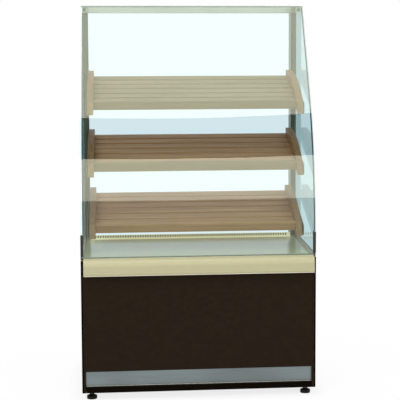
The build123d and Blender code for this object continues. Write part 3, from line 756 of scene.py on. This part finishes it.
@dataclass
class SubAssembly:
    """A part of the case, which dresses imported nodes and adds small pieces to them."""

    finishes: Finishes

    def lay(self, finish: str, *nodes: str) -> None:
        """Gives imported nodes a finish.

        Args:
            finish: The finish's name.
            nodes: The nodes' names.
        """
        for name in nodes:
            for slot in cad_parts[name].material_slots:
                slot.material = self.finishes.materials[finish]

    def piece(self, name: str, shape: Mesh, finish: str, slot: str, body: str = "case",
              smooth: float = 35.0) -> None:
        """Makes an object from a mesh under construction and lets it ride on a body.

        Args:
            name: The piece's name.
            shape: The mesh under construction, which is freed.
            finish: The name of its finish.
            slot: Not used.
            body: The body that carries it.
            smooth: Edges that turn by less than this many degrees are shaded smooth.
        """
        bmesh.ops.recalc_face_normals(shape, faces=shape.faces)
        for face in shape.faces:
            face.smooth = True
        for edge in shape.edges:
            edge.smooth = edge.is_manifold and edge.calc_face_angle(pi) < radians(smooth)
        mesh = bpy.data.meshes.new(name)
        shape.to_mesh(mesh)
        shape.free()
        mesh.materials.append(self.finishes.materials[finish])
        piece = in_scene(name, mesh)
        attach(piece, body)
        log.info("built %s on %s with %d faces", name, body, len(mesh.polygons))

    def block(self, name: str, low: Vector, high: Vector, edge: float, finish: str,
              slot: str) -> None:
        """Builds a block with rounded edges on the case.

        Args:
            name: The piece's name.
            low: Its lowest corner.
            high: Its highest corner.
            edge: The radius of its edges.
            finish: The name of its finish.
            slot: The material slot that it belongs to.
        """
        shape = bmesh.new()
        bmesh.ops.create_cube(shape, size=1.0)
        place = Matrix.Translation((low + high) / 2) @ Matrix.Diagonal((*(high - low), 1.0))
        bmesh.ops.transform(shape, matrix=place, verts=list(shape.verts))
        bmesh.ops.bevel(shape, geom=list(shape.edges), offset=edge, segments=BLOCK_EDGE_STEPS,
                        profile=0.5, affect="EDGES")
        self.piece(name, shape, finish, slot)


@dataclass
class BaseCabinet(SubAssembly):
    """The dark laminated base with its deck, bumper, kick plate and inner boards."""

    banding_thickness: float = 0.0006
    banding_width: float = 0.0074
    banding_margin: float = 0.0003
    banding_edge: float = 0.00027
    highlight_height: float = 0.003
    highlight_margin: float = 0.0005
    highlight_edge: float = 0.0009
    shade_strip_height: float = 0.006
    shade_strip_edge: float = 0.0012
    kick_highlight_height: float = 0.004

    def build(self) -> None:
        """Dresses the base and builds its banding, deck strips, the painted highlights under the
        bumper and on the kick plate, and the painted shade strips under the base.
        """
        self.lay("front_laminate", "front_panel", "base_side_panel_left", "base_side_panel_right")
        self.lay("case_laminate", "plinth_board", "front_top_rail")
        self.lay("edge_banding", "front_bottom_rail")
        self.lay("inner_laminate", "base_bottom_panel", "storage_shelf")
        self.lay("deck_laminate", "deck_panel")
        self.lay("bumper", "bumper_moulding")
        self.lay("kick_plate", "kick_plate")
        self.lay("bright_steel", "storage_shelf_pins", "foot_inserts")
        self.banding()
        self.deck_edges()
        self.strips_under()
        self.kick_plate_highlight()

    def banding(self) -> None:
        """Builds the black strip along the outer half of each side panel's front edge."""
        for side, out in (("left", -1), ("right", 1)):
            low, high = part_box("base_side_panel_" + side)
            outer = max(abs(low.x), abs(high.x)) - self.banding_margin
            inner = outer - self.banding_width
            foot = Vector((min(out * inner, out * outer), low.y - self.banding_thickness,
                           low.z + self.banding_margin))
            top = Vector((max(out * inner, out * outer), low.y, high.z - self.banding_margin))
            self.block("edge_banding_" + side, foot, top, self.banding_edge, "edge_banding",
                       "case_laminate")

    def deck_edges(self) -> None:
        """Builds the pale strips that carry the deck's laminate across the tops of the sides."""
        inset = Vector((self.banding_margin, self.banding_margin, 0.0))
        for side in ("left", "right"):
            low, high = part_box("base_side_panel_" + side)
            foot = Vector((low.x, low.y, high.z)) + inset
            top = Vector((high.x, high.y, high.z + self.banding_thickness)) - inset
            self.block("deck_edge_" + side, foot, top, self.banding_edge, "deck_laminate",
                       "deck_laminate")

    def strips_under(self) -> None:
        """Builds a pale strip under the bumper, a painted highlight, and dark strips under the rail
        and the sides, which are painted shade.
        """
        # The pale strip under the bumper is a painted highlight along its lower edge
        painted_highlight = (self.highlight_margin, self.highlight_height, self.highlight_edge, "bumper_painted_highlight", "bumper")
        # The dark strips under the rail and the sides are painted shade, the shade under the base
        dark = (self.banding_margin, self.shade_strip_height, self.shade_strip_edge, "edge_banding",
                "case_laminate")
        strips = [("bumper_moulding", "bumper_painted_highlight", painted_highlight)]
        for node in ("front_bottom_rail", "base_side_panel_left", "base_side_panel_right"):
            strips.append((node, "base_painted_shade_" + node, dark))
        for node, name, (margin, height, *look) in strips:
            low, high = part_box(node)
            near = Vector((low.x + margin, low.y + margin, low.z - height))
            far = Vector((high.x - margin, high.y - margin, low.z))
            self.block(name, near, far, *look)

    def kick_plate_highlight(self) -> None:
        """Builds a bright strip along the kick plate's lower edge, a painted highlight."""
        low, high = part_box("kick_plate")
        near = Vector((low.x + self.banding_margin, low.y - self.banding_thickness,
                       low.z + self.banding_margin))
        far = Vector((high.x - self.banding_margin, low.y, low.z + self.kick_highlight_height))
        self.block("kick_plate_highlight", near, far, self.banding_edge, "bright_steel", "kick_plate")


@dataclass
class RearDoors(SubAssembly):
    """The two storage doors with their handles, hinges and catches."""

    screw: ScrewHead = ScrewHead(0.0029, 0.0007, 0.001)
    screw_inset: float = 0.009
    hinge_length: float = 0.06

    def build(self) -> None:
        """Dresses the doors and drives the hinge screws."""
        self.lay("case_laminate", "storage_door_left", "storage_door_right")
        self.lay("handle", "door_handle_left", "door_handle_right")
        self.lay("bright_steel", "door_hinges_fixed", "door_hinge_pins",
                 "door_hinge_leaves_left", "door_hinge_leaves_right")
        self.lay("catch", "door_catches")
        for side in ("left", "right"):
            self.hinge_screws(side)

    def hinge_screws(self, side: str) -> None:
        """Drives the screws in both leaves of one door's hinges.

        Args:
            side: Which door.
        """
        leaf_low, leaf_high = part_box("door_hinge_leaves_" + side)
        pin_low, pin_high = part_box("door_hinge_pins")
        panel_low, panel_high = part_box("base_side_panel_" + side)
        door_low, door_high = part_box("storage_door_" + side)
        leaf_x = (max(leaf_low.x, door_low.x) + min(leaf_high.x, door_high.x)) / 2
        edge_x = (panel_low.x + panel_high.x) / 2
        rows = [end * (self.hinge_length / 2 - self.screw_inset) for end in (-1, 0, 1)]
        middles = [pin_low.z + self.hinge_length / 2, pin_high.z - self.hinge_length / 2]
        for name, x, body in (("door", leaf_x, side + "_door"), ("post", edge_x, "case")):
            shape = bmesh.new()
            for middle in middles:
                for row in rows:
                    self.screw.add(shape, facing((x, door_high.y, middle + row), (0, 1, 0)))
            self.piece("hinge_screws_" + name + "_" + side, shape, "bright_steel", "bright_steel",
                       body)


@dataclass
class LevellingFeet(SubAssembly):
    """The four feet: pads, stems and the threads on them."""

    pitch: float = 0.0015
    ridge: float = 0.0004
    root: float = 0.0002
    least_ridge: float = 0.00002
    flank_share: float = 0.42
    travel: float = 0.012
    stem_radius: float = 0.005
    sides: int = 20
    thread_smooth: float = 80.0

    def build(self) -> None:
        """Dresses the feet and builds their threads."""
        for place in ("front_left", "front_right", "rear_left", "rear_right"):
            self.lay("foot_pad", "foot_pad_" + place)
            self.lay("foot_stem", "foot_stem_" + place)
            self.thread(place)

    def thread(self, place: str) -> None:
        """Builds the thread inside the base, clear of the insert over the foot's whole travel.

        Args:
            place: Which foot.
        """
        low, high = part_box("foot_stem_" + place)
        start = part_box("base_bottom_panel")[1].z + self.travel + self.pitch
        shape = bmesh.new()
        self.helix(shape, (low + high) / 2, start, high.z - self.pitch)
        self.piece("foot_thread_" + place, shape, "foot_stem", "foot_stem", place + "_foot",
                   self.thread_smooth)

    def helix(self, shape: Mesh, middle: Vector, low: float, high: float) -> None:
        """Adds a ridge that climbs round a stem and fades in and out over a turn.

        Args:
            shape: The mesh under construction.
            middle: A point on the stem's axis.
            low: Where the ridge starts.
            high: Where it ends.
        """
        steps = int((high - low) / self.pitch * self.sides)
        flank = self.pitch * self.flank_share
        rings = []
        for step in range(steps + 1):
            turn = 2 * pi * step / self.sides
            height = low + self.pitch * step / self.sides
            rise = self.ridge * min(1.0, step / self.sides, (steps - step) / self.sides)
            crest = max(rise, self.least_ridge)
            section = ((-self.root, -flank), (crest, 0.0), (-self.root, flank))
            rings.append([shape.verts.new((middle.x + (self.stem_radius + out) * cos(turn),
                                           middle.y + (self.stem_radius + out) * sin(turn),
                                           height + up)) for out, up in section])
        closed_tube(shape, rings)


@dataclass
class RearFrame(SubAssembly):
    """Posts, base plates, rear bar, side rails and their end caps."""

    cap_thickness: float = 0.002
    cap_margin: float = 0.0005
    cap_edge: float = 0.0008

    def build(self) -> None:
        """Dresses the frame and builds the caps of the rear bar."""
        self.lay("aluminium_upright_painted_shade", "rear_posts")
        self.lay("aluminium_across", "top_cross_bar")
        self.lay("aluminium_to_rear", "top_side_rails")
        self.lay("channel", "side_glass_channels")
        self.lay("post_foot", "post_base_plates")
        low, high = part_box("top_cross_bar")
        for side, x, out in (("left", low.x, -1), ("right", high.x, 1)):
            end = x + out * self.cap_thickness
            near = Vector((min(x, end), low.y + self.cap_margin, low.z + self.cap_margin))
            far = Vector((max(x, end), high.y - self.cap_margin, high.z - self.cap_margin))
            self.block("bar_cap_" + side, near, far, self.cap_edge, "rubber", "rubber")


@dataclass
class GlassEnclosure(SubAssembly):
    """Curved front glass, side panes, top pane, their seal, buffers, clamps and hinges."""

    screw: ScrewHead = ScrewHead(0.0042, 0.0022, 0.002)
    screw_inset: float = 0.02
    screw_spacing: float = 0.055
    screw_sink: float = 0.0002

    def build(self) -> None:
        """Dresses the panes and their fittings and drives the clamp screws."""
        for pane in ("front_glass", "side_glass_left", "side_glass_right", "top_glass"):
            self.lay(pane, pane)
        self.lay("glass_seal", "front_glass_seal")
        self.lay("rubber", "glass_buffers")
        self.lay("clamp", "glass_clamps", "glass_hinge_brackets")
        self.lay("bright_steel", "glass_hinge_pins")
        self.clamp_screws()

    def clamp_screws(self) -> None:
        """Drives two screws through each clamp of the front glass."""
        low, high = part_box("glass_clamps")
        middle = (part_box("bumper_moulding")[1].x + high.x) / 2
        upper = high.z - self.screw_inset
        shape = bmesh.new()
        for x in (-middle, middle):
            for z in (upper, upper - self.screw_spacing):
                self.screw.add(shape, facing((x, low.y + self.screw_sink, z), (0, -1, 0)))
        self.piece("clamp_screws", shape, "clamp", "clamp", "front_glass")


@dataclass
class SlattedShelf(SubAssembly):
    """One tilted shelf: side rails, slats, front lip, battens and brackets."""

    level: str
    slat_finish: str
    lip_finish: str

    def build(self) -> None:
        """Dresses the shelf."""
        name = "shelf_" + self.level + "_"
        self.lay(self.slat_finish, name + "slats")
        self.lay(self.lip_finish, name + "front_lip")
        self.lay("wood_along", name + "side_rails", name + "battens")
        self.lay("bracket", name + "brackets")
        log.info("dressed the %s shelf", self.level)


@dataclass
class DeckUpstand(SubAssembly):
    """The perforated strip at the rear of the deck and a near-black backing behind it, which is
    painted shade.
    """

    backing_thickness: float = 0.003
    backing_gap: float = 0.0002
    backing_margin: float = 0.001
    backing_edge: float = 0.0009

    def build(self) -> None:
        """Dresses the strip and lays the near-black backing of painted shade behind it."""
        self.lay("upstand", "rear_upstand")
        low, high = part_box("rear_upstand")
        front = high.y + self.backing_gap
        near = Vector((low.x + self.backing_margin, front, low.z + self.backing_margin))
        far = Vector((high.x - self.backing_margin, front + self.backing_thickness,
                      high.z - self.backing_margin))
        self.block("upstand_shade_backing", near, far, self.backing_edge, "painted_shade_backing", "rubber")


@dataclass(frozen=True)
class SoftLamp:
    """A square soft lamp that shows in no mirror. Its size is a side, its power is in watts."""

    name: str
    place: Point
    target: Point
    size: float
    power: float

    def hang(self) -> None:
        """Hangs the lamp."""
        data = bpy.data.lights.new(self.name, "AREA")
        data.size = self.size
        data.energy = self.power
        lamp = in_scene(self.name, data)
        lamp.location = self.place
        way = Vector(self.target) - Vector(self.place)
        lamp.rotation_euler = way.to_track_quat("-Z", "Y").to_euler()
        lamp.visible_glossy = False
        lamp.visible_camera = False


@dataclass(frozen=True)
class ReflectionCard:
    """A strip of the studio that only mirror-like surfaces see, by its angles in degrees."""

    name: str
    low: float
    high: float
    brightness: float
    colour: Colour = WHITE
    left: float = -60.0
    right: float = 60.0
    steps: int = 12

    def raise_round(self, centre: Vector, distance: float) -> None:
        """Builds the card as a part of a sphere round the front of the object.

        Args:
            centre: The middle of the sphere.
            distance: The radius of the sphere.
        """
        shape = bmesh.new()
        rows = []
        for i in range(self.steps + 1):
            rise = radians(self.low + (self.high - self.low) * i / self.steps)
            row = []
            for j in range(self.steps + 1):
                turn = radians(self.left + (self.right - self.left) * j / self.steps)
                way = Vector((sin(turn) * cos(rise), -cos(turn) * cos(rise), sin(rise)))
                row.append(shape.verts.new(centre + way * distance))
            rows.append(row)
        for lower, upper in zip(rows, rows[1:]):
            for j in range(self.steps):
                shape.faces.new((lower[j], lower[j + 1], upper[j + 1], upper[j]))
        mesh = bpy.data.meshes.new(self.name)
        shape.to_mesh(mesh)
        shape.free()
        surface = Surface(self.name)
        glow = surface.add("Emission", self.colour, self.brightness)
        surface.show(glow.outputs[0])
        mesh.materials.append(surface.material)
        strip = in_scene(self.name, mesh)
        for ray in ("camera", "diffuse", "transmission", "shadow", "volume_scatter"):
            setattr(strip, "visible_" + ray, False)


@dataclass
class Studio:
    """Pale floor, soft light, reflection cards and the camera.

    The floor's whites are shares of plain white, under the case and near it. The camera's angles
    are radians, and its lens and sensor are millimetres.
    """

    floor_half: float = 14.0
    floor_colour: Colour = (0.93, 0.93, 0.93)
    floor_roughness: float = 0.9
    floor_shine: float = 0.1
    under_white: float = 0.8
    near_white: float = 0.95
    shadow_rim: float = 0.08
    shadow_reach: float = 0.9
    ambient: float = 0.55
    warm: Colour = (1.0, 0.98, 0.78)
    card_distance: float = 4.2
    card_centre: Point = (0.0, -0.237, 1.1)
    camera_place: Point = (-0.3641, -5.9099, 1.6209)
    camera_yaw: float = 0.09745
    camera_pitch: float = -0.09973
    camera_roll: float = -0.00127
    camera_reach: float = 100.0
    sensor_width: float = 36.0
    lens: float = 115.53
    shift: tuple[float, float] = (-0.1, -0.1)

    def build(self) -> None:
        """Builds the whole studio."""
        self.floor()
        self.world()
        for lamp in (
            SoftLamp("lamp_key", (-1.9, -3.0, 3.3), (0.0, 0.0, 0.9), 2.6, 62.0),
            SoftLamp("lamp_fill", (2.6, -2.6, 2.0), (0.0, 0.0, 0.8), 2.4, 22.0),
            SoftLamp("lamp_top", (0.0, -0.2, 3.4), (0.0, 0.0, 0.8), 2.2, 26.0),
            SoftLamp("lamp_rear", (0.0, 1.9, 1.5), (0.0, 0.1, 0.66), 1.0, 16.0),
        ):
            lamp.hang()
        for card in (
            ReflectionCard("card_low_front", -14.0, 5.65, 0.95, self.warm),
            ReflectionCard("card_window", 5.65, 27.2, 3.25, self.warm),
            ReflectionCard("card_dark_wall", 27.2, 48.8, 0.0),
            ReflectionCard("card_ceiling", 48.8, 80.0, 3.2, self.warm),
        ):
            card.raise_round(Vector(self.card_centre), self.card_distance)
        self.camera()

    def floor(self) -> None:
        """Builds the pale floor, which keeps the object's shadow and fades to white further out."""
        bpy.ops.mesh.primitive_plane_add(size=2 * self.floor_half)
        floor = bpy.context.object
        floor.name = "studio_floor"
        surface = Surface("studio_floor")
        surface.fill(surface.shader, Base_Color=self.floor_colour,
                     Roughness=self.floor_roughness, Specular_IOR_Level=self.floor_shine)
        apart = self.distance_from_case(surface)
        near = surface.spread(apart, (0.0, self.shadow_rim), (self.under_white, self.near_white))
        wide = surface.spread(apart, (self.shadow_rim, self.shadow_reach),
                              (0.0, 1.0 - self.near_white))
        white = surface.add("Emission").outputs[0]
        share = surface.maths("MULTIPLY", surface.seen_plainly(), surface.maths("ADD", near, wide))
        surface.show(surface.mixed(share, surface.shader.outputs[0], white))
        floor.data.materials.append(surface.material)

    @staticmethod
    def distance_from_case(surface: Surface) -> Socket:
        """Measures how far a point of the floor lies from the base's outline.

        Args:
            surface: The floor's nodes.

        Returns:
            The distance in metres, 0 under the base.
        """
        low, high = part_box("base_bottom_panel")
        parts = surface.add("SeparateXYZ", surface.place)
        squares = []
        for axis in range(2):
            middle = (low[axis] + high[axis]) / 2
            half = (high[axis] - low[axis]) / 2
            away = surface.maths("SUBTRACT", parts.outputs[axis], middle)
            beyond = surface.maths("SUBTRACT", surface.maths("ABSOLUTE", away), half)
            beyond = surface.maths("MAXIMUM", beyond, 0.0)
            squares.append(surface.maths("MULTIPLY", beyond, beyond))
        return surface.maths("SQRT", surface.maths("ADD", *squares))

    def world(self) -> None:
        """Builds a world that looks white and lights the object softly."""
        world = bpy.data.worlds.new("studio_world")
        bpy.context.scene.world = world
        world.use_nodes = True
        graph = Graph(world.node_tree)
        soft = graph.fill(graph.tree.nodes["Background"], Color=WHITE, Strength=self.ambient)
        white = graph.add("Background", WHITE)
        sky = graph.mixed(graph.seen_plainly(), soft.outputs[0], white.outputs[0])
        graph.feed(graph.tree.nodes["World Output"].inputs["Surface"], sky)

    def camera(self) -> None:
        """Places the camera at the photograph's angle."""
        data = bpy.data.cameras.new("camera")
        data.sensor_width = self.sensor_width
        data.lens = self.lens
        data.shift_x, data.shift_y = self.shift
        data.clip_end = self.camera_reach
        camera = in_scene("camera", data)
        camera.location = self.camera_place
        camera.rotation_euler = (pi / 2 + self.camera_pitch, -self.camera_roll, -self.camera_yaw)
        bpy.context.scene.camera = camera


def main() -> None:
    """Builds every part of the scene in order."""
    logging.basicConfig(level=logging.INFO, format="%(message)s")
    finishes = Finishes(ShaderGroups())
    for part in (
        BaseCabinet(finishes),
        LevellingFeet(finishes),
        RearDoors(finishes),
        RearFrame(finishes),
        GlassEnclosure(finishes),
        DeckUpstand(finishes),
        # Top and middle shelves take the darker copy of the wood, which is painted shade
        SlattedShelf(finishes, "top", "wood_painted_shade", "wood_painted_shade"),
        SlattedShelf(finishes, "middle", "wood_across", "wood_painted_shade"),
        SlattedShelf(finishes, "bottom", "wood_across", "wood_across"),
        Studio(),
    ):
        part.build()
        log.info("finished %s", type(part).__name__)
    bpy.context.scene.view_settings.view_transform = "Standard"


if __name__ == "__main__":
    main()
